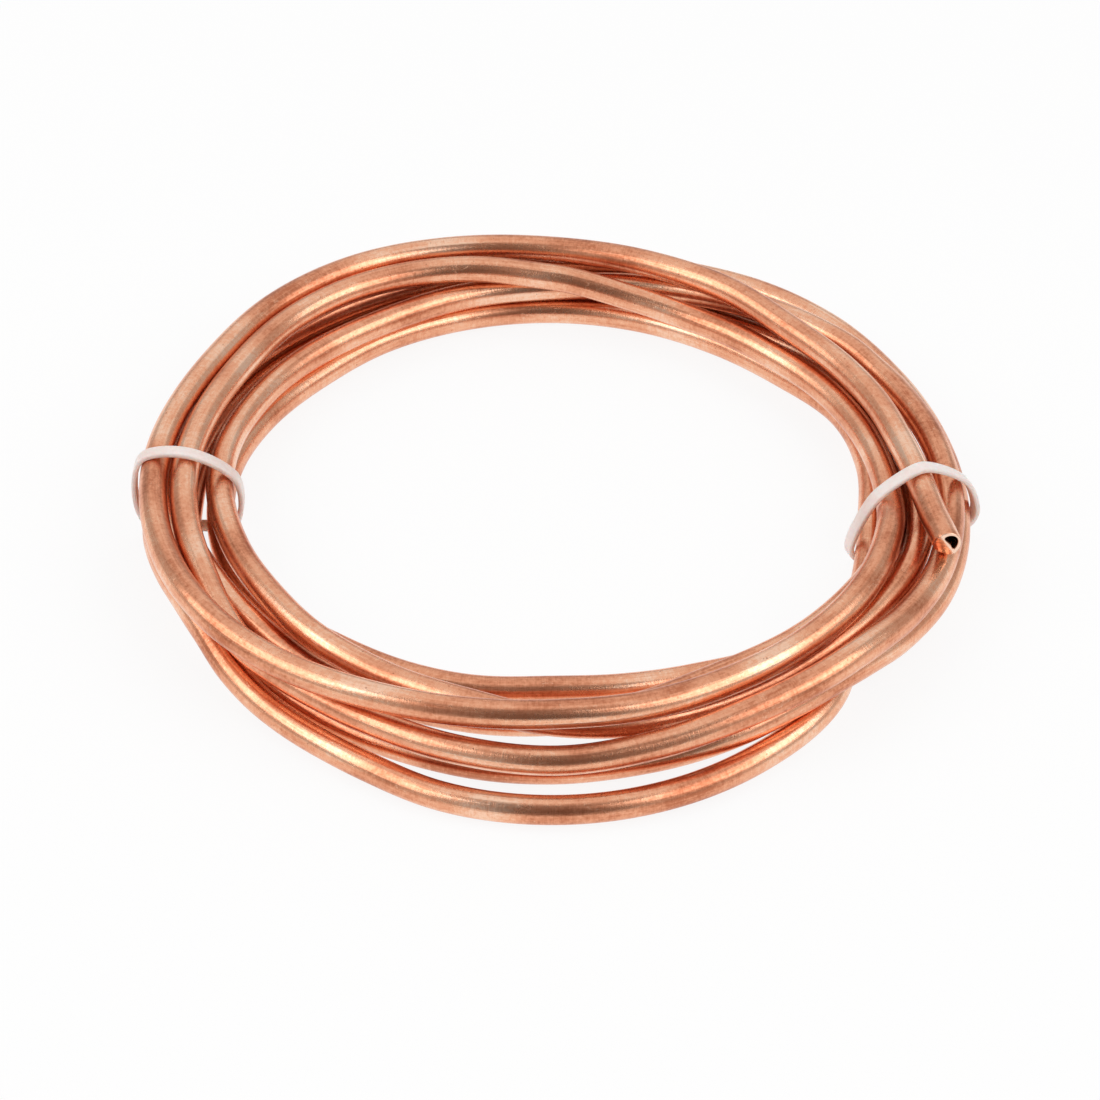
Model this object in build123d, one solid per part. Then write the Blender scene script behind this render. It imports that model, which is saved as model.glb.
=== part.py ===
from build123d import *
import math
import os

# The tube
tube_od = 5.0
tube_wall = 0.5
bore_depth = 15.0

# The coil it is wound into
ring_radius = 64.0
turn_gap = 0.1
pitch = tube_od + turn_gap
knot_step = 15.0
heading_step = 0.5

# The free end on top is pinched: one side of its wall is folded in over the bore.
# Seen from the end, the fold lies this many degrees round, counted from the right.
fold_toward = 214.0
fold_length = 1.2
fold_lip = 0.08
fold_wall = 1.8

# Outline of the mouth that is left (right, up), in tube radii from the middle of the end
mouth = [(-0.22, 0.5), (0.05, 0.72), (0.45, 0.68), (0.72, 0.36), (0.7, -0.08), (0.46, -0.45), (0.19, 0)]

# The two ties around the bundle: where they cross the ring, and how far they are turned askew
tie_width = 2.5
tie_thickness = 1.0
tie_play = 0.12
right_tie_at = -2.0
right_tie_skew = 25.0
left_tie_at = 178.0
left_tie_skew = 0.0

# A tie is too stiff to follow every dip of the bundle: it evens out this many degrees of bend
tie_stiffness = 24

# How far the bundle is held off the floor where a tie runs below it
tie_lift = tie_thickness + tie_play

# The route of the one length of tube, a list to each time round the coil.
# Each point is (degrees round, across the bundle, height in the bundle); across and
# height are counted in tube pitches from the ring radius and from the lowest turn.
turns = [
    [
        (-16.5, 1.33, 2.24), (-10, 0.63, 2.14), (-5, 0.28, 2.08), (0, 0.03, 2.04),
        (9, -0.28, 2.02), (20, -0.4, 2), (30, -0.48, 2), (45, -0.46, 2.02),
        (60, 0.04, 2.08), (75, 0.42, 2.1), (90, 0.9, 2.02), (105, 1.39, 2),
        (120, 1.69, 2), (135, 1.56, 2), (150, 1.15, 2.03), (180, 1.16, 2),
        (195, 1.15, 2.12), (210, 1.12, 2.33), (218, 0.98, 2.31), (225, 0.72, 2.22),
        (232, 0.46, 2.2), (240, 0.16, 2.2), (255, -0.25, 2.2), (270, -0.5, 2.2),
        (285, -0.6, 2.12), (300, -0.66, 2.1), (315, -0.63, 2.06), (330, -0.6, 2.07),
        (345, -0.75, 1.9),
    ],
    [
        (0, -0.93, 1.2), (15, -0.97, 1), (30, -1.03, 1), (45, -1.1, 1),
        (60, -0.98, 1.05), (75, -0.98, 1.45), (90, -0.78, 2), (105, 0, 2.08),
        (120, 0.52, 2.02), (135, 0.49, 2.02), (150, 0.12, 2.07), (180, 0.1, 2.02),
        (195, 0.14, 1.98), (203, 0.17, 1.86), (210, 0.3, 1.69), (218, 0.42, 1.42),
        (225, 0.22, 1.2), (232, 0.06, 1.05), (240, 0.04, 1), (255, 0.3, 1.05),
        (270, 0.5, 1.1), (285, 0.45, 1.32), (300, 0.6, 1.76), (315, 0.9, 2.02),
        (322, 0.92, 1.86), (330, 1, 1.55), (345, 1.17, 1.2),
    ],
    [
        (0, 1.21, 1.14), (15, 1.13, 1.2), (30, 0.98, 1.25), (37, 0.86, 1.42),
        (45, 0.66, 1.46), (60, 0.65, 1.15), (75, 0.3, 1.05), (90, -0.12, 1.05),
        (105, -0.25, 1.03), (120, -0.55, 1.02), (150, -0.67, 1.02), (180, -1.07, 1.3),
        (195, -1.4, 1.3), (210, -1.63, 1.4), (225, -1.6, 1.5), (240, -1.7, 1.37),
        (255, -1.46, 1.5), (270, -1.15, 1.27), (285, -1.0, 1.05), (300, -0.87, 0.95),
        (315, -0.62, 1.02), (322, -0.45, 1.06), (330, -0.25, 1.04), (345, 0.15, 1.12),
    ],
    [
        (0, 0.2, 1.03), (15, 0.08, 1.02), (30, 0.03, 0.9), (45, 0.3, 0.42),
        (60, 0.5, 0.05), (90, 0.9, 0), (105, 0.85, 0), (120, 0.68, 0),
        (150, 0.52, 0), (165, 0.3, 0), (180, 0.12, 0), (195, 0.28, 0),
        (205, 0.29, 0), (217, -0.02, 0), (225, -0.18, 0), (240, -0.23, 0),
        (255, -0.22, 0), (270, -0.1, 0.13), (285, -0.08, 0.25), (300, 0.3, 0.74),
        (307, 0.4, 0.94), (314, 0.5, 1), (322, 0.63, 0.8), (330, 0.84, 0.48),
        (345, 1.28, 0.18),
    ],
    [
        (0, 1.5, 0.15), (15, 1.63, 0.26), (30, 1.77, 0.45), (45, 1.77, 0.87),
        (60, 1.66, 1.03), (75, 1.5, 1.02), (90, 1.42, 0.92), (120, 1.17, 0.9),
        (150, 1.02, 0.92), (165, 0.85, 0.92), (180, 0.55, 1.0), (195, -0.1, 1.0),
        (210, -0.75, 0.7), (225, -1.38, 0.3), (240, -1.85, 0.2), (255, -1.8, 0.48),
        (270, -1.95, 0.55), (285, -2.07, 0.7), (300, -2.12, 0.88), (315, -1.67, 1.05),
        (330, -1.28, 1.05), (345, -0.87, 0.87), (352, -0.65, 0.55),
    ],
    [
        (0, -0.38, 0.16), (8, -0.13, 0), (15, 0.13, 0), (30, 0.6, 0), (45, 1.24, 0),
        (60, 1.52, 0), (90, 1.92, 0), (120, 1.7, 0), (150, 1.54, 0),
        (165, 1.33, 0), (180, 1.18, 0.16), (187, 1.12, 0.48), (195, 0.98, 0.76),
        (203, 0.82, 0.9), (210, 0.78, 0.8), (218, 0.87, 0.45), (225, 0.86, 0.15),
        (235, 0.88, 0), (244, 1.07, 0), (255, 1.47, 0), (270, 1.64, 0),
        (285, 1.48, 0), (300, 1.04, 0), (315, 0.38, 0), (330, -0.98, 0),
        (345, -1.42, 0),
    ],
    [
        (0, -1.44, 0), (15, -0.93, 0), (30, -0.54, 0), (45, -0.68, 0),
        (60, -0.52, 0), (75, -0.27, 0), (90, -0.14, 0), (105, -0.18, 0),
        (120, -0.35, 0), (135, -0.66, 0), (150, -0.72, 0), (165, -0.78, 0),
        (180, -1.02, 0), (195, -1.35, 0.1), (210, -1.9, 0.25), (225, -2.38, 0.6),
        (240, -2.9, 0.45), (255, -3.4, 0.3), (270, -3.65, 0.35), (285, -3.5, 0.3),
        (300, -3.1, 0.2), (315, -2.28, 0.18), (324, -1.95, 0.15),
    ],
]


def route():
    """All the points of the route, the degrees counted on from turn to turn."""
    return [(360 * n + at, out, up) for n, turn in enumerate(turns) for at, out, up in turn]


def slopes(xs, ys, level):
    """Slope at each point; a level curve does not overshoot its own points."""
    steps = [(ys[i + 1] - ys[i]) / (xs[i + 1] - xs[i]) for i in range(len(xs) - 1)]
    result = [steps[0]]
    for i in range(1, len(steps)):
        before, after = steps[i - 1], steps[i]
        left, right = xs[i] - xs[i - 1], xs[i + 1] - xs[i]
        if not level:
            result.append((before * right + after * left) / (left + right))
        elif before * after <= 0:
            result.append(0.0)
        else:
            result.append(2 * before * after / (before + after))
    return result + [steps[-1]]


def smooth(xs, ys, level):
    """A smooth curve through the points, given as a function of x."""
    slope = slopes(xs, ys, level)

    def at(x):
        i = max(k for k in range(len(xs) - 1) if xs[k] <= max(x, xs[0]))
        width = xs[i + 1] - xs[i]
        t = (x - xs[i]) / width
        start = (2 * t**3 - 3 * t**2 + 1) * ys[i] + (t**3 - 2 * t**2 + t) * width * slope[i]
        end = (3 * t**2 - 2 * t**3) * ys[i + 1] + (t**3 - t**2) * width * slope[i + 1]
        return start + end

    return at


points = route()
degrees = [point[0] for point in points]
across = smooth(degrees, [point[1] for point in points], False)
height = smooth(degrees, [point[2] for point in points], True)


def centre(at):
    """Middle of the tube at this many degrees along the route."""
    turn = math.radians(at)
    radius = ring_radius + across(at) * pitch
    z = tube_od / 2 + tie_lift * math.cos(turn) ** 2 + height(at) * pitch
    return Vector(radius * math.cos(turn), radius * math.sin(turn), z)


def heading(at):
    """Direction of the tube there."""
    back = max(at - heading_step, degrees[0])
    ahead = min(at + heading_step, degrees[-1])
    return (centre(ahead) - centre(back)).normalized()


def knots():
    """Middle and direction at even steps along the whole route."""
    count = round((degrees[-1] - degrees[0]) / knot_step)
    width = (degrees[-1] - degrees[0]) / count
    places = [degrees[0] + width * n for n in range(count + 1)]
    return [(centre(at), heading(at)) for at in places]


def arc(start, direction, end):
    """The arc leaving start in this direction for end: its axis, angle and radius."""
    chord = end - start
    normal = direction.cross(chord).normalized()
    inward = normal.cross(direction)
    radius = chord.length**2 / (2 * chord.dot(inward))
    angle = 2 * math.atan2(chord.dot(inward), chord.dot(direction))
    return Axis(start + inward * radius, normal), math.degrees(angle), radius


def arcs(ends):
    """Pairs of arcs that join each knot to the next with no kink."""
    result = []
    for (here, out), (there, into) in zip(ends, ends[1:]):
        step = there - here
        both = out + into
        spread = 2 * (1 - out.dot(into))
        reach = math.sqrt(step.dot(both) ** 2 + spread * step.dot(step)) - step.dot(both)
        reach = reach / spread
        middle = (here + there + (out - into) * reach) * 0.5
        result.append(arc(here, out, middle))
        axis, angle, radius = arc(there, into * -1, middle)
        result.append((Axis(axis.position, axis.direction * -1), angle, radius))
    return result


def turned(vector, axis, angle):
    """A direction swung round by an arc."""
    return vector.rotate(Axis((0, 0, 0), axis.direction), angle)


def ring_on(plane, radius):
    """A circle across the tube."""
    return Wire([Edge.make_circle(radius, plane)])


def skin(plane, radius, bends, length=math.inf):
    """The curved faces a circle leaves along the bends, and the plane at their end."""
    faces = []
    for axis, angle, bend in bends:
        sweep = min(angle, math.degrees(length / bend))
        piece = Solid.revolve(Face(ring_on(plane, radius)), sweep, axis)
        faces = faces + [face for face in piece.faces() if face.geom_type != GeomType.PLANE]
        plane = Plane(
            origin=axis.position + turned(plane.origin - axis.position, axis, sweep),
            x_dir=turned(plane.x_dir, axis, sweep),
            z_dir=turned(plane.z_dir, axis, sweep),
        )
        length = length - bend * math.radians(sweep)
        if sweep < angle:
            break
    return faces, plane


def bore(plane, ends):
    """Open end of the tube: its rim, the wall of the bore and the bore's floor."""
    inside = tube_od / 2 - tube_wall
    wall, last = skin(plane, inside, arcs(ends), bore_depth)
    rim = Face(ring_on(plane, tube_od / 2), [ring_on(plane, inside)])
    return [rim, Face(ring_on(last, inside))] + wall


def end_view(plane):
    """The end's plane as seen from outside: X to the right and Y up."""
    right = plane.z_dir.cross(Vector(0, 0, 1)).normalized()
    return Plane(origin=plane.origin, x_dir=right, z_dir=plane.z_dir * -1)


def folded_wall():
    """The wall that is folded in: it closes the bore but for the mouth."""
    return Solid.make_cylinder(tube_od / 2 - tube_wall / 2, fold_wall, Plane((0, 0, -fold_wall)))


def mouth_cut():
    """The mouth, right through the folded wall."""
    corners = [Vector(x, y, 0) * (tube_od / 2) for x, y in mouth]
    outline = Face(Wire([Edge.make_spline(corners, periodic=True)]))
    return Solid.extrude(outline, Vector(0, 0, -2 * fold_wall))


def fold_cut():
    """What the fold leaves free outside: a slant from the lip back to the tube's side."""
    turn = math.radians(fold_toward)
    side = Vector(math.cos(turn), math.sin(turn), 0)
    rise = Vector(0, 0, 1) * (tube_od / 2 - fold_lip) + side * fold_length
    slant = Plane(origin=side * fold_lip, x_dir=side.cross(Vector(0, 0, 1)), z_dir=rise)
    above = slant.location * extrude(Rectangle(3 * tube_od, 3 * tube_od), tube_od)
    return above & Solid.make_cylinder(tube_od / 2 + turn_gap / 5, 2 * tube_od, Plane((0, 0, -tube_od)))


def make_tube():
    """The whole tube: its free end folded in, both ends bored a little way."""
    ends = knots()
    back = [(place, direction * -1) for place, direction in reversed(ends)]
    first = Plane(origin=ends[0][0], z_dir=ends[0][1])
    wall, last = skin(first, tube_od / 2, arcs(ends))
    tube = Solid(Shell(wall + bore(first, ends) + bore(last, back)))
    seen = end_view(first).location
    return tube + seen * folded_wall() - seen * mouth_cut() - seen * fold_cut()


def tie_plane(at, skew):
    """The upright plane that a tie lies in: X out of the coil, Y up."""
    turn = math.radians(at)
    spot = Vector(ring_radius * math.cos(turn), ring_radius * math.sin(turn), 0)
    out = Vector(math.cos(turn + math.radians(skew)), math.sin(turn + math.radians(skew)), 0)
    return Plane(origin=spot, x_dir=out, z_dir=out.cross(Vector(0, 0, 1)))


def crossings(plane, at):
    """Where each turn goes through the tie: its middle, and the room that it takes there."""
    circles = []
    for n in range(len(turns)):
        here = at + 360 * n
        if not degrees[0] < here < degrees[-1]:
            continue
        for aside in (-tie_width / 2, 0, tie_width / 2):
            for _ in range(4):
                off = (centre(here) - plane.origin).dot(plane.z_dir) - aside
                here = here - math.degrees(off / heading(here).dot(plane.z_dir) / ring_radius)
            middle = plane.to_local_coords(centre(here))
            lean = abs(heading(here).dot(plane.z_dir))
            circles.append((middle.X, middle.Y, tube_od / 2 / lean + tie_play))
    return circles


def tie_reach(circles):
    """How far out the tie lies in each direction, degree by degree."""
    tight = []
    for step in range(360):
        turn = math.radians(step)
        tight.append(max(x * math.cos(turn) + y * math.sin(turn) + r for x, y, r in circles))
    window = range(-tie_stiffness, tie_stiffness + 1)
    weights = [1 + math.cos(math.pi * k / (tie_stiffness + 1)) for k in window]
    total = sum(weights)
    eased = []
    for step in range(360):
        eased.append(sum(w * tight[(step + k) % 360] for w, k in zip(weights, window)) / total)
    slack = max(t - e for t, e in zip(tight, eased))
    return [e + slack for e in eased]


def tie_outline(reach, thickness, floor):
    """The area inside the tie, grown by a thickness and flattened on the floor."""
    spots = []
    for step in range(0, 360, 10):
        turn = math.radians(step)
        far = reach[step] + thickness
        swing = (reach[(step + 1) % 360] - reach[step - 1]) / math.radians(2)
        x = far * math.cos(turn) - swing * math.sin(turn)
        y = far * math.sin(turn) + swing * math.cos(turn)
        spots.append(Vector(x, y, 0))
    loop = Face(Wire([Edge.make_spline(spots, periodic=True)]))
    side = 4 * max(reach)
    return loop & Face(Wire.make_rect(side, side, Plane((0, floor + side / 2, 0))))


def make_tie(at, skew):
    """A flat band drawn round every turn that passes this place."""
    plane = tie_plane(at, skew)
    reach = tie_reach(crossings(plane, at))
    band = tie_outline(reach, tie_thickness, 0) - tie_outline(reach, 0, tie_thickness)
    return plane.location * extrude(band, tie_width / 2, both=True)


def place(pieces):
    """All the pieces stood on the floor, over the middle of their common box."""
    box = Compound(list(pieces.values())).bounding_box()
    to_origin = Location((-box.center().X, -box.center().Y, -box.min.Z))
    return {name: to_origin * piece for name, piece in pieces.items()}


os.makedirs("parts", exist_ok=True)
pieces = {
    "tube": make_tube(),
    "left_tie": make_tie(left_tie_at, left_tie_skew),
    "right_tie": make_tie(right_tie_at, right_tie_skew),
}
for name, piece in place(pieces).items():
    export_step(piece, f"parts/{name}.step")
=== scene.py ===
import math

import bpy
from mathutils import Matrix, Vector


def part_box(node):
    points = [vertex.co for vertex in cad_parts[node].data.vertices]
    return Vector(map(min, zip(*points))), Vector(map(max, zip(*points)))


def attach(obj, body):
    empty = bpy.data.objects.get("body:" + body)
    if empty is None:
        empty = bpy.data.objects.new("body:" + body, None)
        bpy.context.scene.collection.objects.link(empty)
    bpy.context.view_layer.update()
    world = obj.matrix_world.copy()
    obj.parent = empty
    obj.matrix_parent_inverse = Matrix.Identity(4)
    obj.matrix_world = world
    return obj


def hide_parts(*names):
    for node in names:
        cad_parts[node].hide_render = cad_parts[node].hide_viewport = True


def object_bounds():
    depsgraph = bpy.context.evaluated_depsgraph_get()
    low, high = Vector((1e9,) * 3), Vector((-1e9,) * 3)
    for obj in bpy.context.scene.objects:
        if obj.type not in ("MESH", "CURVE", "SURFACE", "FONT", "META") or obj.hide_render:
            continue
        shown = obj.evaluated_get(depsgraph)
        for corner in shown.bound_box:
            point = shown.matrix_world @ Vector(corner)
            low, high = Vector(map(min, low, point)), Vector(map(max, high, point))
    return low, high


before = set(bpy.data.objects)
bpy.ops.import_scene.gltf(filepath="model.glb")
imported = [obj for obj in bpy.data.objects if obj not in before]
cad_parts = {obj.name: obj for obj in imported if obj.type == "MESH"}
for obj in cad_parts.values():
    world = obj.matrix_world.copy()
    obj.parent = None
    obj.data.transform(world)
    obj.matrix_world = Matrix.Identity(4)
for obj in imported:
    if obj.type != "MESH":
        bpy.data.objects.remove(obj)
cad_low, cad_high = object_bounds()

MM = 0.001

# The tube, and the coil that it is wound into
TUBE_OD = 5.0 * MM
TUBE_WALL = 0.5 * MM
BORE_DEPTH = 14.0 * MM
RING_RADIUS = 64.0 * MM
TURN_GAP = 0.1 * MM
PITCH = TUBE_OD + TURN_GAP

# The drawn tube is this much smaller all round than the solid, so that it stays inside it
SKIN_SHY = 0.02 * MM
SKIN_RADIUS = TUBE_OD / 2 - SKIN_SHY

# How finely the tube is drawn: degrees from ring to ring, and points in a ring
RING_STEP = 1.25
ROUND = 32

# The tube's direction at a place is taken over this many degrees on either side
HEADING_STEP = 0.5

# The free end on top: the fold lies this many degrees round, seen from the end, from the right
FOLD_TOWARD = 214.0
FOLD_LENGTH = 1.2 * MM
FOLD_LIP = 0.08 * MM
FOLD_WALL = 1.8 * MM
FOLD_BULGE = 1.5

# The lip of the fold stands out a little, most strongly just before the fold begins
LIP_HEIGHT = 0.14 * MM
LIP_MIDDLE = -0.1 * MM
LIP_WIDTH = 0.22 * MM

# The fold is crumpled by waves (radians a metre), which grow over the first part of its fall
CRUMPLE = 0.06 * MM
CRUMPLE_ACROSS = 5.5 / MM
CRUMPLE_UP = 6.5 / MM
CRUMPLE_START = 1.0
CRUMPLE_GROWTH = 3

# Bright cut metal: it fades past the lip, from here on and over this length
BARE_FROM = 0.125 * MM
BARE_FADE = 0.5 * MM
BARE_LEAST = 0.1

# Rings of the rounded rim: (depth in roundings, share that it has drawn in, how bare it is)
EDGE_ROUND = 0.16 * MM
EDGE_RINGS = [(1, 0, 0), (0.4, 0.02, 0.4), (0.05, 0.06, 0.8)]

# Rings of the face, by their share of the way to the mouth, and of the throat below it
FACE_SHARES = [0.12, 0.25, 0.4, 0.55, 0.7, 0.82, 0.92]
THROAT_DEPTHS = [0.1 * MM, 0.4 * MM, FOLD_WALL]
THROAT_BARENESS = 0.3

# Outline of the mouth that the fold leaves (right, up), in tube radii from the middle of the end,
# its own middle, and how many steps the line takes from one point to the next
MOUTH = [(-0.22, 0.5), (0.05, 0.72), (0.45, 0.68), (0.72, 0.36), (0.7, -0.08), (0.46, -0.45), (0.19, 0)]
MOUTH_MIDDLE = Vector((0.42, 0.2)) * TUBE_OD / 2
MOUTH_STEPS = 24

# The band of a tie. The bundle is held off the floor where a tie runs below it
TIE_WIDTH = 2.5 * MM
TIE_THICKNESS = 1.0 * MM
TIE_PLAY = 0.12 * MM
TIE_LIFT = TIE_THICKNESS + TIE_PLAY

# The drawn band lies closer to the tube and is a little thinner than the solid, to stay inside it
TIE_SNUG = 0.03 * MM
TIE_SHY = 0.02 * MM

# Its rounded edge: (in from the side, depth), counted in roundings
TIE_EDGE = 0.3 * MM
TIE_CORNER = [(0, 1), (0.3, 0.3), (1, 0)]

# Where the ties cross the ring, how far they are turned askew, and over how many degrees of bend
# each one is too stiff to follow the bundle's dips
RIGHT_TIE_AT = -2.0
RIGHT_TIE_SKEW = 25.0
RIGHT_TIE_STIFFNESS = 18
LEFT_TIE_AT = 178.0
LEFT_TIE_SKEW = 0.0
LEFT_TIE_STIFFNESS = 28

# Degrees of bend from one section of a tie to the next, and tries to find a turn's way through it
TIE_STEP = 2
AIM_TRIES = 4

# Fineness of the marks: along the tube, and the two ways across it, in waves a millimetre
ROUND_LINES_GRAIN = (4.5, 0.5, 0.5)
LONG_LINES_GRAIN = (0.05, 3.0, 3.0)
MOTTLE_GRAIN = (1.3, 1.5, 1.5)
CLOUD_GRAIN = (0.06, 0.12, 0.12)
SPECK_CLUSTERS_GRAIN = (0.5, 0.5, 0.5)
SCRATCH_GRAIN = (0.22, 0.5, 0.5)
SCRATCH_CLUSTERS_GRAIN = (0.3, 0.4, 0.4)
SPECK_CELLS = 0.8

# Values at which a mark begins and is full
NOISE_SPAN = (0.3, 0.7)
SPECK_SPAN = (0.16, 0.06)
SPECK_CLUSTERS_SPAN = (0.55, 0.62)
SCRATCH_SPAN = (0.007, 0.002)
SCRATCH_CLUSTERS_SPAN = (0.56, 0.62)
SCRATCH_STRENGTH = 0.4

# Colours of the copper, from its darkest places to its lightest, and how strongly it is marked
COPPER_TONES = [
    (0.22, (0.56, 0.19, 0.095)),
    (0.44, (0.83, 0.365, 0.21)),
    (0.6, (0.92, 0.47, 0.29)),
    (0.78, (0.98, 0.63, 0.45)),
]
COPPER_SPECK = (0.42, 0.15, 0.08)
COPPER_SCRATCH = (0.98, 0.7, 0.5)
COPPER_CUT = (0.98, 0.68, 0.52)
COPPER_MARKS = {"Round Lines": 0.22, "Long Lines": 0.3, "Mottle": 0.48, "Specks": 0.8}
COPPER_RELIEF = 0.04 * MM
COPPER_ROUGHNESS = (0.36, 0.2)

# The same for the nylon, which lets light sink in
NYLON_TONES = [
    (0.2, (0.86, 0.72, 0.67)),
    (0.5, (0.93, 0.83, 0.79)),
    (0.8, (0.96, 0.89, 0.86)),
]
NYLON_MARKS = {"Round Lines": 0.1, "Long Lines": 0.2, "Mottle": 0.6, "Specks": 0.25}
NYLON_RELIEF = 0.05 * MM
NYLON_DEPTH = 0.8 * MM

# The table: half its side in metres, its white, and how much of it is seen evenly lit
FLOOR_HALF = 2.5
FLOOR_WHITE = 0.95
FLOOR_EVENNESS = 0.88

# Brightness of the surroundings, where 1 is white, and of the dark gap in front
WORLD_LEVEL = 0.5
GAP_LEVEL = 0.13
GAP_TINT = (1.0, 0.72, 0.6)

# Edges of the gap, as parts of a direction's length: (where it begins, where it is full)
GAP_LEFT = (-0.36, -0.2)
GAP_RIGHT = (0.48, 0.32)
GAP_FRONT = (-0.06, -0.34)

# Soft lights: name, degrees round, degrees up, distance, size in metres and brightness
SOFTBOXES = [
    ("overhead_softbox", 90, 80, 1.2, (1.2, 0.9), 0.4),
    ("back_softbox", 90, 38, 1.1, (1.3, 0.8), 0.35),
    ("left_softbox", 196, 42, 1.0, (1.0, 0.7), 1.7),
    ("right_softbox", 334, 42, 1.0, (1.0, 0.7), 1.7),
]

# The camera of the photograph: degrees above the table, distance and height that it is aimed at
CAMERA_UP = 40.5
CAMERA_DISTANCE = 0.690
CAMERA_AIM = 8 * MM
SENSOR_WIDTH = 36.0

# In pixels of the photograph: its width, the lens, and how far right of its middle and above it
# the coil's middle shows
PHOTO_WIDTH = 1100
FOCAL_PIXELS = 3905.0
PIXELS_RIGHT = 2.0
PIXELS_ABOVE = 49.0

# The route of the one length of tube, a list to each time round the coil. Each point is
# (degrees round, across the bundle, height in the bundle), the last two in tube pitches.
TURNS = [
    [
        (-16.5, 1.33, 2.24), (-10, 0.63, 2.14), (-5, 0.28, 2.08), (0, 0.03, 2.04),
        (9, -0.28, 2.02), (20, -0.4, 2), (30, -0.48, 2), (45, -0.46, 2.02),
        (60, 0.04, 2.08), (75, 0.42, 2.1), (90, 0.9, 2.02), (105, 1.39, 2),
        (120, 1.69, 2), (135, 1.56, 2), (150, 1.15, 2.03), (180, 1.16, 2),
        (195, 1.15, 2.12), (210, 1.12, 2.33), (218, 0.98, 2.31), (225, 0.72, 2.22),
        (232, 0.46, 2.2), (240, 0.16, 2.2), (255, -0.25, 2.2), (270, -0.5, 2.2),
        (285, -0.6, 2.12), (300, -0.66, 2.1), (315, -0.63, 2.06), (330, -0.6, 2.07),
        (345, -0.75, 1.9),
    ],
    [
        (0, -0.93, 1.2), (15, -0.97, 1), (30, -1.03, 1), (45, -1.1, 1),
        (60, -0.98, 1.05), (75, -0.98, 1.45), (90, -0.78, 2), (105, 0, 2.08),
        (120, 0.52, 2.02), (135, 0.49, 2.02), (150, 0.12, 2.07), (180, 0.1, 2.02),
        (195, 0.14, 1.98), (203, 0.17, 1.86), (210, 0.3, 1.69), (218, 0.42, 1.42),
        (225, 0.22, 1.2), (232, 0.06, 1.05), (240, 0.04, 1), (255, 0.3, 1.05),
        (270, 0.5, 1.1), (285, 0.45, 1.32), (300, 0.6, 1.76), (315, 0.9, 2.02),
        (322, 0.92, 1.86), (330, 1, 1.55), (345, 1.17, 1.2),
    ],
    [
        (0, 1.21, 1.14), (15, 1.13, 1.2), (30, 0.98, 1.25), (37, 0.86, 1.42),
        (45, 0.66, 1.46), (60, 0.65, 1.15), (75, 0.3, 1.05), (90, -0.12, 1.05),
        (105, -0.25, 1.03), (120, -0.55, 1.02), (150, -0.67, 1.02), (180, -1.07, 1.3),
        (195, -1.4, 1.3), (210, -1.63, 1.4), (225, -1.6, 1.5), (240, -1.7, 1.37),
        (255, -1.46, 1.5), (270, -1.15, 1.27), (285, -1.0, 1.05), (300, -0.87, 0.95),
        (315, -0.62, 1.02), (322, -0.45, 1.06), (330, -0.25, 1.04), (345, 0.15, 1.12),
    ],
    [
        (0, 0.2, 1.03), (15, 0.08, 1.02), (30, 0.03, 0.9), (45, 0.3, 0.42),
        (60, 0.5, 0.05), (90, 0.9, 0), (105, 0.85, 0), (120, 0.68, 0),
        (150, 0.52, 0), (165, 0.3, 0), (180, 0.12, 0), (195, 0.28, 0),
        (205, 0.29, 0), (217, -0.02, 0), (225, -0.18, 0), (240, -0.23, 0),
        (255, -0.22, 0), (270, -0.1, 0.13), (285, -0.08, 0.25), (300, 0.3, 0.74),
        (307, 0.4, 0.94), (314, 0.5, 1), (322, 0.63, 0.8), (330, 0.84, 0.48),
        (345, 1.28, 0.18),
    ],
    [
        (0, 1.5, 0.15), (15, 1.63, 0.26), (30, 1.77, 0.45), (45, 1.77, 0.87),
        (60, 1.66, 1.03), (75, 1.5, 1.02), (90, 1.42, 0.92), (120, 1.17, 0.9),
        (150, 1.02, 0.92), (165, 0.85, 0.92), (180, 0.55, 1.0), (195, -0.1, 1.0),
        (210, -0.75, 0.7), (225, -1.38, 0.3), (240, -1.85, 0.2), (255, -1.8, 0.48),
        (270, -1.95, 0.55), (285, -2.07, 0.7), (300, -2.12, 0.88), (315, -1.67, 1.05),
        (330, -1.28, 1.05), (345, -0.87, 0.87), (352, -0.65, 0.55),
    ],
    [
        (0, -0.38, 0.16), (8, -0.13, 0), (15, 0.13, 0), (30, 0.6, 0), (45, 1.24, 0),
        (60, 1.52, 0), (90, 1.92, 0), (120, 1.7, 0), (150, 1.54, 0),
        (165, 1.33, 0), (180, 1.18, 0.16), (187, 1.12, 0.48), (195, 0.98, 0.76),
        (203, 0.82, 0.9), (210, 0.78, 0.8), (218, 0.87, 0.45), (225, 0.86, 0.15),
        (235, 0.88, 0), (244, 1.07, 0), (255, 1.47, 0), (270, 1.64, 0),
        (285, 1.48, 0), (300, 1.04, 0), (315, 0.38, 0), (330, -0.98, 0),
        (345, -1.42, 0),
    ],
    [
        (0, -1.44, 0), (15, -0.93, 0), (30, -0.54, 0), (45, -0.68, 0),
        (60, -0.52, 0), (75, -0.27, 0), (90, -0.14, 0), (105, -0.18, 0),
        (120, -0.35, 0), (135, -0.66, 0), (150, -0.72, 0), (165, -0.78, 0),
        (180, -1.02, 0), (195, -1.35, 0.1), (210, -1.9, 0.25), (225, -2.38, 0.6),
        (240, -2.9, 0.45), (255, -3.4, 0.3), (270, -3.65, 0.35), (285, -3.5, 0.3),
        (300, -3.1, 0.2), (315, -2.28, 0.18), (324, -1.95, 0.15),
    ],
]


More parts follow.
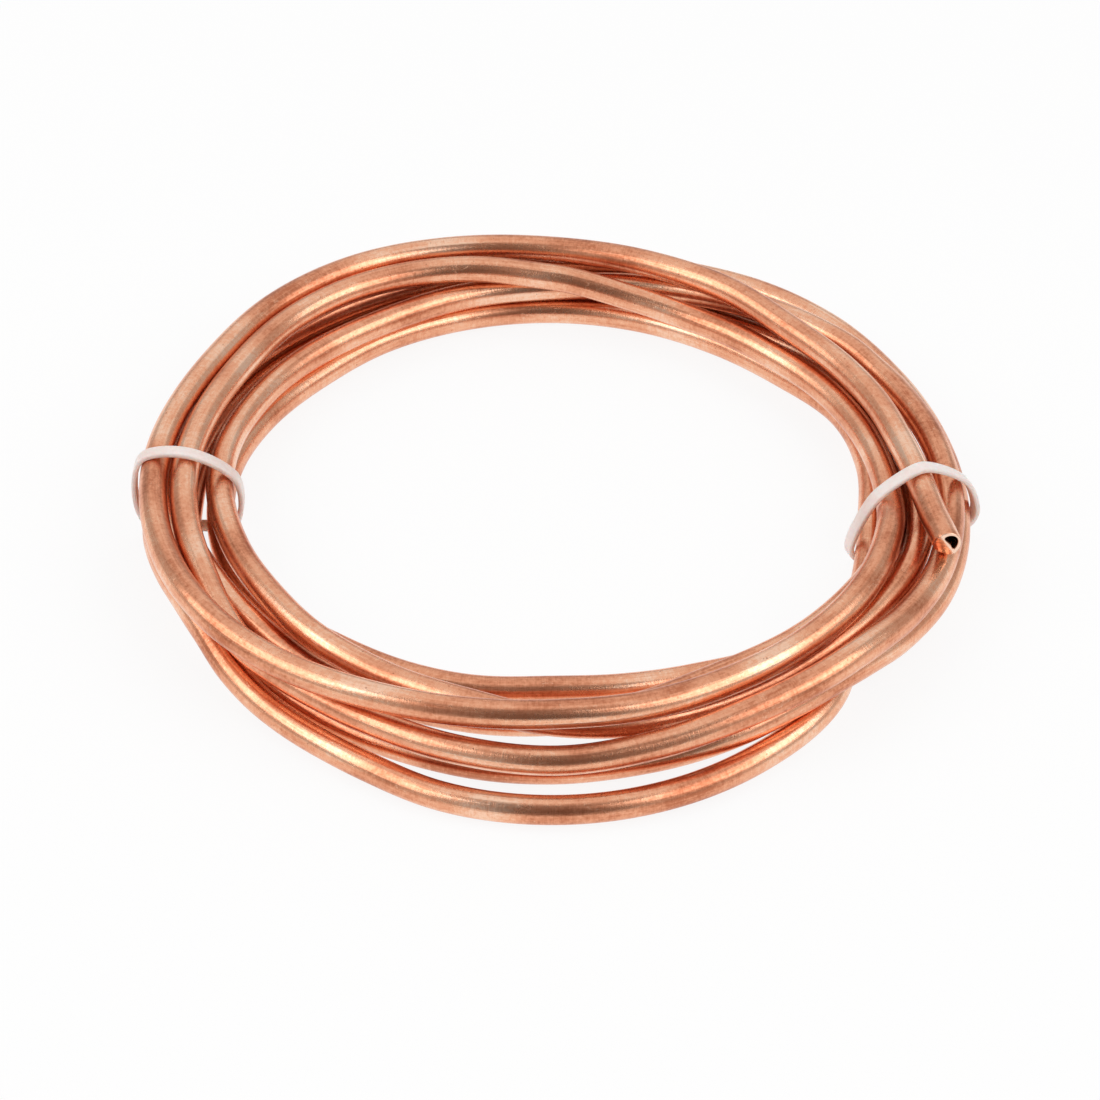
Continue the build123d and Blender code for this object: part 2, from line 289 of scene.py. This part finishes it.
def slopes(xs, ys, level):
    """Slope at each point; a level curve does not overshoot its own points."""
    steps = [(ys[i + 1] - ys[i]) / (xs[i + 1] - xs[i]) for i in range(len(xs) - 1)]
    result = [steps[0]]
    for i in range(1, len(steps)):
        before, after = steps[i - 1], steps[i]
        left, right = xs[i] - xs[i - 1], xs[i + 1] - xs[i]
        if not level:
            result.append((before * right + after * left) / (left + right))
        elif before * after <= 0:
            result.append(0.0)
        else:
            result.append(2 * before * after / (before + after))
    return result + [steps[-1]]


def smooth(xs, ys, level):
    """A smooth curve through the points, given as a function of x."""
    slope = slopes(xs, ys, level)

    def at(x):
        i = max(k for k in range(len(xs) - 1) if xs[k] <= max(x, xs[0]))
        width = xs[i + 1] - xs[i]
        t = (x - xs[i]) / width
        start = (2 * t**3 - 3 * t**2 + 1) * ys[i] + (t**3 - 2 * t**2 + t) * width * slope[i]
        end = (3 * t**2 - 2 * t**3) * ys[i + 1] + (t**3 - t**2) * width * slope[i + 1]
        return start + end

    return at


points = [(360 * n + at, out, up) for n, turn in enumerate(TURNS) for at, out, up in turn]
degrees = [point[0] for point in points]
across = smooth(degrees, [point[1] for point in points], False)
height = smooth(degrees, [point[2] for point in points], True)


def centre(at):
    """Middle of the tube at this many degrees along the route."""
    turn = math.radians(at)
    radius = RING_RADIUS + across(at) * PITCH
    z = TUBE_OD / 2 + TIE_LIFT * math.cos(turn) ** 2 + height(at) * PITCH
    return Vector((radius * math.cos(turn), radius * math.sin(turn), z))


def heading(at):
    """Direction of the tube there."""
    back = max(at - HEADING_STEP, degrees[0])
    ahead = min(at + HEADING_STEP, degrees[-1])
    return (centre(ahead) - centre(back)).normalized()


def stations():
    """Middle, direction, side and upper side of each ring along the route, without twist."""
    count = math.ceil((degrees[-1] - degrees[0]) / RING_STEP)
    rows = []
    side = None
    for n in range(count + 1):
        at = degrees[0] + (degrees[-1] - degrees[0]) * n / count
        along = heading(at)
        if side is None:
            side = Vector((0, 0, 1)).cross(along)
        side = (side - along * side.dot(along)).normalized()
        rows.append((centre(at), along, side, along.cross(side)))
    return rows


def new_object(name, verts, faces):
    """A smooth-shaded mesh object."""
    mesh = bpy.data.meshes.new(name)
    mesh.from_pydata(verts, [], faces)
    mesh.update()
    for polygon in mesh.polygons:
        polygon.use_smooth = True
    obj = bpy.data.objects.new(name, mesh)
    bpy.context.scene.collection.objects.link(obj)
    return obj


def outline_of_mouth():
    """The mouth's outline as a smooth closed line, in metres."""
    count = len(MOUTH)
    line = []
    for i in range(count):
        before, here, there, after = (Vector(MOUTH[(i + k) % count]) for k in (-1, 0, 1, 2))
        for step in range(MOUTH_STEPS):
            t = step / MOUTH_STEPS
            bend = 2 * here + (there - before) * t
            bend += (2 * before - 5 * here + 4 * there - after) * t * t
            bend += (3 * here - before - 3 * there + after) * t**3
            line.append(bend * 0.5 * TUBE_OD / 2)
    return line


def mouth_toward(direction, line):
    """The point of the mouth's outline that lies this way from its middle."""
    return max(line, key=lambda spot: (spot - MOUTH_MIDDLE).normalized().dot(direction))


def past_lip(x, y):
    """How far this spot of the end lies beyond the lip of the fold."""
    turn = math.radians(FOLD_TOWARD)
    return x * math.cos(turn) + y * math.sin(turn) - FOLD_LIP


def end_rise(x, y):
    """How far the end's face stands out there: the fold falls back from its lip, crumpled."""
    past = past_lip(x, y)
    lip = LIP_HEIGHT * math.exp(-(((past - LIP_MIDDLE) / LIP_WIDTH) ** 2))
    fall = max(0.0, past) / (TUBE_OD / 2 - FOLD_LIP)
    wave = math.sin(CRUMPLE_ACROSS * x) * math.sin(CRUMPLE_UP * y + CRUMPLE_START)
    crumple = CRUMPLE * wave * min(1.0, CRUMPLE_GROWTH * fall)
    return lip + crumple - FOLD_LENGTH * fall**FOLD_BULGE


def bareness(x, y):
    """Bright cut metal all round the rim, and only along the lip on the folded side."""
    return min(1.0, max(BARE_LEAST, 1 - (past_lip(x, y) - BARE_FROM) / BARE_FADE))


def ring_turns():
    """The direction of each point of a ring, in radians."""
    return [2 * math.pi * k / ROUND for k in range(ROUND)]


def ring_of(row, radius):
    """A round ring of points about the route."""
    middle, _, side, up = row
    return [middle + side * (radius * math.cos(a)) + up * (radius * math.sin(a)) for a in ring_turns()]


class Skin:
    """Rings of points that are joined up into one closed skin."""

    def __init__(self):
        self.verts = []
        self.faces = []
        self.places = []
        self.cut = []

    def ring(self, spots, run, cut=None):
        """Add a ring that lies this far along the tube; cut says how bare its metal is."""
        start = len(self.verts)
        radius = TUBE_OD / 2 / MM
        for turn in ring_turns():
            self.places.append((run / MM, radius * math.cos(turn), radius * math.sin(turn)))
        self.verts += spots
        self.cut += cut or [0.0] * ROUND
        return start

    def bridge(self, a, b):
        """Join two rings, given by their first points."""
        for k in range(ROUND):
            j = (k + 1) % ROUND
            self.faces.append((a + k, a + j, b + j, b + k))

    def close(self, a):
        """Close a ring with a flat face."""
        self.faces.append(tuple(a + k for k in range(ROUND)))


def folded_end(skin, row):
    """The free end: rounded edge, folded face, mouth and the start of the bore."""
    middle, along, side, up = row
    line = outline_of_mouth()
    rim = [Vector((-math.cos(turn), math.sin(turn))) * SKIN_RADIUS for turn in ring_turns()]
    hole = [mouth_toward((spot - MOUTH_MIDDLE).normalized(), line) for spot in rim]

    def face_ring(share, back, drawn_in, bright):
        """A ring this share of the way from rim to mouth, set back from the face."""
        placed = []
        cut = []
        for outer, inner in zip(rim, hole):
            spot = outer.lerp(inner, share) * (1 - drawn_in)
            rise = end_rise(*outer) if share == 0 else end_rise(*spot)
            placed.append(middle - side * spot.x + up * spot.y - along * (rise - back))
            cut.append(bright * bareness(*spot))
        return skin.ring(placed, back, cut)

    steps = [(0, depth * EDGE_ROUND, drawn_in, bright) for depth, drawn_in, bright in EDGE_RINGS]
    steps += [(share, 0, 0, 1) for share in FACE_SHARES]
    steps += [(1, depth, 0, THROAT_BARENESS) for depth in THROAT_DEPTHS]
    first = last = face_ring(*steps[0])
    for step in steps[1:]:
        here = face_ring(*step)
        skin.bridge(here, last)
        last = here
    return first, last


def make_tube():
    """The tube's skin, its two bores, and what its material needs to know of each point."""
    rows = stations()
    skin = Skin()
    runs = [0.0]
    for before, here in zip(rows, rows[1:]):
        runs.append(runs[-1] + (here[0] - before[0]).length)
    inside = TUBE_OD / 2 - TUBE_WALL

    def bored(order, last):
        """The blind bore at one end, from its first ring on: wall and floor."""
        for n in order:
            here = skin.ring(ring_of(rows[n], inside), runs[n])
            skin.bridge(here, last)
            last = here
            if abs(runs[n] - runs[order[0]]) > BORE_DEPTH:
                break
        skin.close(last)

    outer, throat = folded_end(skin, rows[0])
    for n in range(1, len(rows)):
        here = skin.ring(ring_of(rows[n], SKIN_RADIUS), runs[n])
        skin.bridge(outer, here)
        outer = here
    bored(range(2, len(rows)), throat)
    rim = skin.ring(ring_of(rows[-1], inside), runs[-1], [1.0] * ROUND)
    skin.bridge(outer, rim)
    bored(range(len(rows) - 2, -1, -1), rim)

    tube = new_object("tube_coil", skin.verts, skin.faces)
    place = tube.data.attributes.new("tube_place", "FLOAT_VECTOR", "POINT")
    place.data.foreach_set("vector", [part for spot in skin.places for part in spot])
    bare = tube.data.attributes.new("bare_metal", "FLOAT", "POINT")
    bare.data.foreach_set("value", skin.cut)
    return tube


def tie_frame(at, skew):
    """A tie's upright plane: where it stands, and its directions outward and across."""
    turn = math.radians(at)
    spot = Vector((RING_RADIUS * math.cos(turn), RING_RADIUS * math.sin(turn), 0))
    swung = turn + math.radians(skew)
    out = Vector((math.cos(swung), math.sin(swung), 0))
    return spot, out, Vector((out.y, -out.x, 0))


def crossings(at, skew):
    """Where each turn goes through the tie: its middle, and the room that it takes there."""
    spot, out, aside = tie_frame(at, skew)
    circles = []
    for n in range(len(TURNS)):
        here = at + 360 * n
        if not degrees[0] < here < degrees[-1]:
            continue
        for off in (-TIE_WIDTH / 2, 0, TIE_WIDTH / 2):
            for _ in range(AIM_TRIES):
                far = (centre(here) - spot).dot(aside) - off
                here = here - math.degrees(far / heading(here).dot(aside) / RING_RADIUS)
            middle = centre(here)
            lean = abs(heading(here).dot(aside))
            circles.append(((middle - spot).dot(out), middle.z, TUBE_OD / 2 / lean + TIE_SNUG))
    return circles


def tie_reach(circles, stiffness):
    """How far out the tie lies in each direction, degree by degree."""
    tight = []
    for step in range(360):
        turn = math.radians(step)
        tight.append(max(x * math.cos(turn) + y * math.sin(turn) + r for x, y, r in circles))
    window = range(-stiffness, stiffness + 1)
    weights = [1 + math.cos(math.pi * k / (stiffness + 1)) for k in window]
    total = sum(weights)
    eased = []
    for step in range(360):
        eased.append(sum(w * tight[(step + k) % 360] for w, k in zip(weights, window)) / total)
    slack = max(t - e for t, e in zip(tight, eased))
    return [e + slack for e in eased]


def tie_line(reach, thickness, floor, roof):
    """The tie's line at this thickness, flattened on the floor and under the roof."""
    line = []
    for step in range(0, 360, TIE_STEP):
        turn = math.radians(step)
        far = reach[step] + thickness
        swing = (reach[(step + 1) % 360] - reach[step - 1]) / math.radians(2)
        x = far * math.cos(turn) - swing * math.sin(turn)
        y = far * math.sin(turn) + swing * math.cos(turn)
        line.append((x, min(max(y, floor), roof)))
    return line


def make_tie(name, at, skew, stiffness):
    """A flat band with rounded edges, drawn round every turn that passes this place."""
    spot, out, aside = tie_frame(at, skew)
    reach = tie_reach(crossings(at, skew), stiffness)
    thick = TIE_THICKNESS - TIE_SHY
    roof = cad_high.z - TIE_SHY - thick

    corner = [(x * TIE_EDGE - TIE_WIDTH / 2, depth * TIE_EDGE) for x, depth in TIE_CORNER]
    inner = corner + [(-x, depth) for x, depth in corner[::-1]]
    profile = inner + [(x, thick - depth) for x, depth in inner[::-1]]
    lines = [(x, tie_line(reach, depth, TIE_THICKNESS - depth, roof + depth)) for x, depth in profile]

    verts = []
    faces = []
    count = len(lines[0][1])
    size = len(profile)
    for i in range(count):
        for x, line in lines:
            verts.append(spot + out * line[i][0] + aside * x + Vector((0, 0, line[i][1])))
        j = (i + 1) % count
        for k in range(size):
            m = (k + 1) % size
            faces.append((i * size + k, j * size + k, j * size + m, i * size + m))
    return new_object(name, verts, faces)


def add_node(tree, kind, **settings):
    """A new node with these settings."""
    made = tree.nodes.new(kind)
    for key, value in settings.items():
        setattr(made, key, value)
    return made


def math_node(tree, operation, first, second):
    """One step of arithmetic on two values, each a number or another node's output."""
    made = add_node(tree, "ShaderNodeMath", operation=operation)
    for socket, value in zip(made.inputs, (first, second)):
        if isinstance(value, (int, float)):
            socket.default_value = value
        else:
            tree.links.new(value, socket)
    return made.outputs[0]


def stretched_noise(tree, place, grain, detail, rough=0.5):
    """Noise over a place given in millimetres, finer where the grain is larger."""
    scaled = add_node(tree, "ShaderNodeVectorMath", operation="MULTIPLY")
    scaled.inputs[1].default_value = grain
    tree.links.new(place, scaled.inputs[0])
    noise = add_node(tree, "ShaderNodeTexNoise")
    noise.inputs["Scale"].default_value = 1.0
    noise.inputs["Detail"].default_value = detail
    noise.inputs["Roughness"].default_value = rough
    tree.links.new(scaled.outputs[0], noise.inputs["Vector"])
    return noise.outputs["Fac"]


def spread(tree, value, low, high):
    """Stretch a value so that low becomes 0 and high becomes 1."""
    ranged = add_node(tree, "ShaderNodeMapRange")
    ranged.inputs["From Min"].default_value = low
    ranged.inputs["From Max"].default_value = high
    tree.links.new(value, ranged.inputs["Value"])
    return ranged.outputs["Result"]


def make_handled_surface():
    """Marks of drawing and handling: lines round about, lines along, mottling, specks, scratches."""
    group = bpy.data.node_groups.new("handled_surface", "ShaderNodeTree")
    group.interface.new_socket("Place", in_out="INPUT", socket_type="NodeSocketVector")
    for name in ("Round Lines", "Long Lines", "Mottle", "Specks"):
        group.interface.new_socket(name, in_out="INPUT", socket_type="NodeSocketFloat")
    for name in ("Height", "Tone", "Speck Mask", "Scratch Mask"):
        group.interface.new_socket(name, in_out="OUTPUT", socket_type="NodeSocketFloat")
    given = add_node(group, "NodeGroupInput").outputs
    result = add_node(group, "NodeGroupOutput").inputs

    def noise(span, grain, detail, rough=0.5):
        return spread(group, stretched_noise(group, given["Place"], grain, detail, rough), *span)

    def combined(operation, first, second):
        return math_node(group, operation, first, second)

    cells = add_node(group, "ShaderNodeTexVoronoi")
    cells.inputs["Scale"].default_value = SPECK_CELLS
    group.links.new(given["Place"], cells.inputs["Vector"])
    dots = spread(group, cells.outputs["Distance"], *SPECK_SPAN)
    dots = combined("MULTIPLY", dots, noise(SPECK_CLUSTERS_SPAN, SPECK_CLUSTERS_GRAIN, 1.0))
    specks = combined("MULTIPLY", dots, given["Specks"])

    wander = stretched_noise(group, given["Place"], SCRATCH_GRAIN, 3.0)
    off_line = combined("ABSOLUTE", combined("SUBTRACT", wander, 0.5), 0)
    line = spread(group, off_line, *SCRATCH_SPAN)
    line = combined("MULTIPLY", line, noise(SCRATCH_CLUSTERS_SPAN, SCRATCH_CLUSTERS_GRAIN, 1.0))
    scratches = combined("MULTIPLY", line, SCRATCH_STRENGTH)

    round_lines = noise(NOISE_SPAN, ROUND_LINES_GRAIN, 2.0, 0.6)
    long_lines = noise(NOISE_SPAN, LONG_LINES_GRAIN, 2.0)
    mottle = noise(NOISE_SPAN, MOTTLE_GRAIN, 4.0, 0.65)
    cloud = noise(NOISE_SPAN, CLOUD_GRAIN, 2.0)
    lines = combined(
        "ADD",
        combined("MULTIPLY", round_lines, given["Round Lines"]),
        combined("MULTIPLY", long_lines, given["Long Lines"]),
    )
    marks = combined("ADD", lines, combined("MULTIPLY", mottle, given["Mottle"]))
    dug = combined("ADD", specks, combined("MULTIPLY", scratches, given["Specks"]))
    shade = combined("MULTIPLY", combined("ADD", marks, cloud), 0.5)

    group.links.new(combined("SUBTRACT", marks, dug), result["Height"])
    group.links.new(shade, result["Tone"])
    group.links.new(specks, result["Speck Mask"])
    group.links.new(scratches, result["Scratch Mask"])
    return group


def marked(tree, group, place, strengths):
    """The marks on this material, each at its own strength."""
    marks = add_node(tree, "ShaderNodeGroup", node_tree=group)
    tree.links.new(place, marks.inputs["Place"])
    for name, value in strengths.items():
        marks.inputs[name].default_value = value
    return marks.outputs


def colour_steps(tree, value, steps):
    """The colour for this value, from a row of (value, colour)."""
    ramp = add_node(tree, "ShaderNodeValToRGB")
    elements = ramp.color_ramp.elements
    while len(elements) < len(steps):
        elements.new(0.5)
    for element, (where, colour) in zip(elements, steps):
        element.position = where
        element.color = (*colour, 1)
    tree.links.new(value, ramp.inputs["Fac"])
    return ramp.outputs["Color"]


def mixed(tree, mask, first, second):
    """The first colour, and the second where the mask is."""
    mix = add_node(tree, "ShaderNodeMix", data_type="RGBA")
    tree.links.new(mask, mix.inputs["Factor"])
    for socket, value in ((mix.inputs[6], first), (mix.inputs[7], second)):
        if isinstance(value, tuple):
            socket.default_value = (*value, 1)
        else:
            tree.links.new(value, socket)
    return mix.outputs[2]


def bumped(tree, height_value, strength, distance):
    """The surface's normal where it is raised by this height."""
    bump = add_node(tree, "ShaderNodeBump")
    bump.inputs["Strength"].default_value = strength
    bump.inputs["Distance"].default_value = distance
    tree.links.new(height_value, bump.inputs["Height"])
    return bump.outputs["Normal"]


def new_material(name):
    """A material, its node tree and its main shader."""
    material = bpy.data.materials.new(name)
    material.use_nodes = True
    return material, material.node_tree, material.node_tree.nodes["Principled BSDF"]


def annealed_copper(group):
    """Soft bare copper: satin, a little uneven in colour, bright where it was cut."""
    material, tree, shader = new_material("annealed_copper")
    place = add_node(tree, "ShaderNodeAttribute", attribute_name="tube_place").outputs["Vector"]
    cut = add_node(tree, "ShaderNodeAttribute", attribute_name="bare_metal").outputs["Fac"]
    marks = marked(tree, group, place, COPPER_MARKS)
    colour = colour_steps(tree, marks["Tone"], COPPER_TONES)
    colour = mixed(tree, marks["Speck Mask"], colour, COPPER_SPECK)
    colour = mixed(tree, marks["Scratch Mask"], colour, COPPER_SCRATCH)
    colour = mixed(tree, cut, colour, COPPER_CUT)
    tree.links.new(colour, shader.inputs["Base Color"])
    gloss = add_node(tree, "ShaderNodeMapRange")
    gloss.inputs["To Min"].default_value, gloss.inputs["To Max"].default_value = COPPER_ROUGHNESS
    tree.links.new(marks["Tone"], gloss.inputs["Value"])
    tree.links.new(gloss.outputs["Result"], shader.inputs["Roughness"])
    tree.links.new(bumped(tree, marks["Height"], 0.5, COPPER_RELIEF), shader.inputs["Normal"])
    shader.inputs["Metallic"].default_value = 1.0
    return material


def milky_nylon(group):
    """Natural nylon: milky, a little see-through, with faint moulding marks."""
    material, tree, shader = new_material("milky_nylon")
    place = add_node(tree, "ShaderNodeVectorMath", operation="SCALE")
    place.inputs["Scale"].default_value = 1 / MM
    tree.links.new(add_node(tree, "ShaderNodeTexCoord").outputs["Object"], place.inputs[0])
    marks = marked(tree, group, place.outputs[0], NYLON_MARKS)
    tree.links.new(colour_steps(tree, marks["Tone"], NYLON_TONES), shader.inputs["Base Color"])
    tree.links.new(bumped(tree, marks["Height"], 0.25, NYLON_RELIEF), shader.inputs["Normal"])
    shader.inputs["Roughness"].default_value = 0.42
    shader.inputs["Subsurface Weight"].default_value = 0.5
    shader.inputs["Subsurface Radius"].default_value = (1.0, 0.6, 0.5)
    shader.inputs["Subsurface Scale"].default_value = NYLON_DEPTH
    return material


def put(obj, material, node_name):
    """Dress a node of the frame with this object."""
    obj.data.materials.append(material)
    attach(obj, "root")
    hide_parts(node_name)


def make_floor():
    """A plain white table; the camera, metal and glass see it almost evenly lit."""
    corners = [(x * FLOOR_HALF, y * FLOOR_HALF, 0) for x, y in ((-1, -1), (1, -1), (1, 1), (-1, 1))]
    floor = new_object("floor", corners, [(0, 1, 2, 3)])
    material, tree, shader = new_material("white_table")
    shader.inputs["Base Color"].default_value = (FLOOR_WHITE, FLOOR_WHITE, FLOOR_WHITE, 1)
    shader.inputs["Roughness"].default_value = 0.9
    shader.inputs["Specular IOR Level"].default_value = 0.1
    glow = add_node(tree, "ShaderNodeEmission")
    seen = add_node(tree, "ShaderNodeLightPath").outputs
    rays = math_node(tree, "MAXIMUM", seen["Is Camera Ray"], seen["Is Glossy Ray"])
    rays = math_node(tree, "MAXIMUM", rays, seen["Is Transmission Ray"])
    mix = add_node(tree, "ShaderNodeMixShader")
    tree.links.new(math_node(tree, "MULTIPLY", rays, FLOOR_EVENNESS), mix.inputs["Fac"])
    tree.links.new(shader.outputs[0], mix.inputs[1])
    tree.links.new(glow.outputs[0], mix.inputs[2])
    tree.links.new(mix.outputs[0], tree.nodes["Material Output"].inputs["Surface"])
    floor.data.materials.append(material)


def make_softbox(name, azimuth, elevation, distance, size, brightness):
    """A flat soft light that faces the coil; brightness 1 looks white."""
    turn, tilt = math.radians(azimuth), math.radians(elevation)
    toward = Vector((math.cos(turn) * math.cos(tilt), math.sin(turn) * math.cos(tilt), math.sin(tilt)))
    light = bpy.data.lights.new(name, "AREA")
    light.shape = "RECTANGLE"
    light.size, light.size_y = size
    light.energy = math.pi * size[0] * size[1] * brightness
    obj = bpy.data.objects.new(name, light)
    obj.location = toward * distance
    obj.rotation_euler = (-toward).to_track_quat("-Z", "Y").to_euler()
    bpy.context.scene.collection.objects.link(obj)


def make_world():
    """White all round but for the dark gap in front, where the camera stands."""
    world = bpy.data.worlds.new("studio")
    bpy.context.scene.world = world
    world.use_nodes = True
    tree = world.node_tree
    way = add_node(tree, "ShaderNodeSeparateXYZ")
    tree.links.new(add_node(tree, "ShaderNodeTexCoord").outputs["Generated"], way.inputs[0])
    gap = math_node(
        tree,
        "MULTIPLY",
        spread(tree, way.outputs["X"], *GAP_LEFT),
        spread(tree, way.outputs["X"], *GAP_RIGHT),
    )
    gap = math_node(tree, "MULTIPLY", gap, spread(tree, way.outputs["Y"], *GAP_FRONT))
    background = tree.nodes["Background"]
    tree.links.new(mixed(tree, gap, (1.0, 1.0, 1.0), GAP_TINT), background.inputs["Color"])
    darker = math_node(tree, "MULTIPLY", gap, WORLD_LEVEL - GAP_LEVEL)
    tree.links.new(math_node(tree, "SUBTRACT", WORLD_LEVEL, darker), background.inputs["Strength"])


def make_camera(target):
    """The camera of the photograph, aimed so that the target shows where it does there."""
    elevation = math.radians(CAMERA_UP)
    fwd = Vector((0, math.cos(elevation), -math.sin(elevation)))
    right = Vector((1, 0, 0))
    up = Vector((0, math.sin(elevation), math.cos(elevation)))
    way = fwd + right * (PIXELS_RIGHT / FOCAL_PIXELS) + up * (PIXELS_ABOVE / FOCAL_PIXELS)
    data = bpy.data.cameras.new("camera")
    data.sensor_width = SENSOR_WIDTH
    data.lens = SENSOR_WIDTH * FOCAL_PIXELS / PHOTO_WIDTH
    obj = bpy.data.objects.new("camera", data)
    obj.location = target - CAMERA_DISTANCE * way
    obj.rotation_euler = fwd.to_track_quat("-Z", "Y").to_euler()
    bpy.context.scene.collection.objects.link(obj)
    bpy.context.scene.camera = obj


tube = make_tube()
left_tie = make_tie("left_tie_band", LEFT_TIE_AT, LEFT_TIE_SKEW, LEFT_TIE_STIFFNESS)
right_tie = make_tie("right_tie_band", RIGHT_TIE_AT, RIGHT_TIE_SKEW, RIGHT_TIE_STIFFNESS)

# The route is drawn about the ring's own middle, and the frame has its origin below the
# middle of the whole coil, so every piece moves by the same step
box_low, box_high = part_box("tube")
drawn = [[v.co[i] for v in tube.data.vertices] for i in range(3)]
shift = Vector([(box_low[i] + box_high[i] - min(drawn[i]) - max(drawn[i])) / 2 for i in range(3)])
for obj in (tube, left_tie, right_tie):
    for vertex in obj.data.vertices:
        vertex.co += shift

handled_surface = make_handled_surface()
copper = annealed_copper(handled_surface)
nylon = milky_nylon(handled_surface)
put(tube, copper, "tube")
put(left_tie, nylon, "left_tie")
put(right_tie, nylon, "right_tie")

make_floor()
make_world()
for softbox in SOFTBOXES:
    make_softbox(*softbox)
make_camera(Vector((0, 0, CAMERA_AIM)) + shift)
bpy.context.scene.view_settings.view_transform = "Standard"
